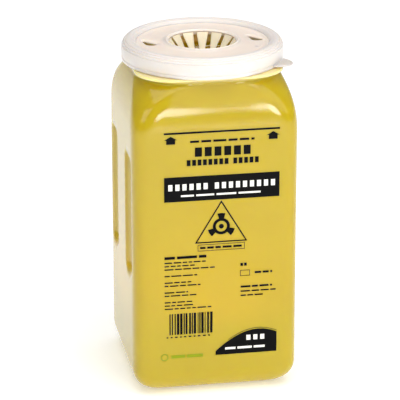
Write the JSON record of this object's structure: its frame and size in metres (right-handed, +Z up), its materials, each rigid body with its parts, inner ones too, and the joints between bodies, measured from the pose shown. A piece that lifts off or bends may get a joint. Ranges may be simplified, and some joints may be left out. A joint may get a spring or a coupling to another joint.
{
  "type": "sharps container",
  "caption": "Square sharps container with a round clip-on lid, flexible funnel fingers, needle removers and a lift tab.",
  "frame": {"origin": "centre of the base, on the surface it stands on", "axes": "+Z up through the lid, -Y out of the printed front face, +X to the right of someone facing the front"},
  "size_m": [0.0984, 0.0984, 0.2076],
  "materials": {
    "container_plastic": "glossy blow-moulded polyethylene",
    "lid_plastic": "milky translucent polypropylene",
    "finger_plastic": "thin flexible polypropylene"
  },
  "bodies": {
    "container": {"container_body": "container_plastic"},
    "lid": {"lid": "lid_plastic", "funnel_collar": "lid_plastic", "lift_tab": "lid_plastic"},
    "finger_01": {"funnel_finger_01": "finger_plastic"},
    "finger_02": {"funnel_finger_02": "finger_plastic"},
    "finger_03": {"funnel_finger_03": "finger_plastic"},
    "finger_04": {"funnel_finger_04": "finger_plastic"},
    "finger_05": {"funnel_finger_05": "finger_plastic"},
    "finger_06": {"funnel_finger_06": "finger_plastic"},
    "finger_07": {"funnel_finger_07": "finger_plastic"},
    "finger_08": {"funnel_finger_08": "finger_plastic"},
    "finger_09": {"funnel_finger_09": "finger_plastic"},
    "finger_10": {"funnel_finger_10": "finger_plastic"},
    "finger_11": {"funnel_finger_11": "finger_plastic"},
    "finger_12": {"funnel_finger_12": "finger_plastic"},
    "finger_13": {"funnel_finger_13": "finger_plastic"},
    "finger_14": {"funnel_finger_14": "finger_plastic"}
  },
  "joints": [
    {"name": "lid_lift", "type": "slide", "parent": "container", "child": "lid", "axis": [0, 0, 1], "range_m": [0, 0.06]},
    {"name": "finger_01_flex", "type": "hinge", "parent": "lid", "child": "finger_01", "pos_m": [0.00354, 0.01968, 0.2045], "axis": [0.9842, -0.1771, 0], "range_deg": [0, 30], "stiffness_Nm_per_rad": 0.02},
    {"name": "finger_02_flex", "type": "hinge", "parent": "lid", "child": "finger_02", "pos_m": [-0.00535, 0.01927, 0.2045], "axis": [0.9636, 0.2675, 0], "range_deg": [0, 30], "stiffness_Nm_per_rad": 0.02},
    {"name": "finger_03_flex", "type": "hinge", "parent": "lid", "child": "finger_03", "pos_m": [-0.01318, 0.01504, 0.2045], "axis": [0.7521, 0.6591, 0], "range_deg": [0, 30], "stiffness_Nm_per_rad": 0.02},
    {"name": "finger_04_flex", "type": "hinge", "parent": "lid", "child": "finger_04", "pos_m": [-0.0184, 0.00783, 0.2045], "axis": [0.3916, 0.9201, 0], "range_deg": [0, 30], "stiffness_Nm_per_rad": 0.02},
    {"name": "finger_05_flex", "type": "hinge", "parent": "lid", "child": "finger_05", "pos_m": [-0.01998, -0.00093, 0.2045], "axis": [-0.0464, 0.9989, 0], "range_deg": [0, 30], "stiffness_Nm_per_rad": 0.02},
    {"name": "finger_06_flex", "type": "hinge", "parent": "lid", "child": "finger_06", "pos_m": [-0.0176, -0.0095, 0.2045], "axis": [-0.4752, 0.8799, 0], "range_deg": [0, 30], "stiffness_Nm_per_rad": 0.02},
    {"name": "finger_07_flex", "type": "hinge", "parent": "lid", "child": "finger_07", "pos_m": [-0.01173, -0.0162, 0.2045], "axis": [-0.8099, 0.5866, 0], "range_deg": [0, 30], "stiffness_Nm_per_rad": 0.02},
    {"name": "finger_08_flex", "type": "hinge", "parent": "lid", "child": "finger_08", "pos_m": [-0.00354, -0.01968, 0.2045], "axis": [-0.9842, 0.1771, 0], "range_deg": [0, 30], "stiffness_Nm_per_rad": 0.02},
    {"name": "finger_09_flex", "type": "hinge", "parent": "lid", "child": "finger_09", "pos_m": [0.00535, -0.01927, 0.2045], "axis": [-0.9636, -0.2675, 0], "range_deg": [0, 30], "stiffness_Nm_per_rad": 0.02},
    {"name": "finger_10_flex", "type": "hinge", "parent": "lid", "child": "finger_10", "pos_m": [0.01318, -0.01504, 0.2045], "axis": [-0.7521, -0.6591, 0], "range_deg": [0, 30], "stiffness_Nm_per_rad": 0.02},
    {"name": "finger_11_flex", "type": "hinge", "parent": "lid", "child": "finger_11", "pos_m": [0.0184, -0.00783, 0.2045], "axis": [-0.3916, -0.9201, 0], "range_deg": [0, 30], "stiffness_Nm_per_rad": 0.02},
    {"name": "finger_12_flex", "type": "hinge", "parent": "lid", "child": "finger_12", "pos_m": [0.01998, 0.00093, 0.2045], "axis": [0.0464, -0.9989, 0], "range_deg": [0, 30], "stiffness_Nm_per_rad": 0.02},
    {"name": "finger_13_flex", "type": "hinge", "parent": "lid", "child": "finger_13", "pos_m": [0.0176, 0.0095, 0.2045], "axis": [0.4752, -0.8799, 0], "range_deg": [0, 30], "stiffness_Nm_per_rad": 0.02},
    {"name": "finger_14_flex", "type": "hinge", "parent": "lid", "child": "finger_14", "pos_m": [0.01173, 0.0162, 0.2045], "axis": [0.8099, -0.5866, 0], "range_deg": [0, 30], "stiffness_Nm_per_rad": 0.02}
  ]
}
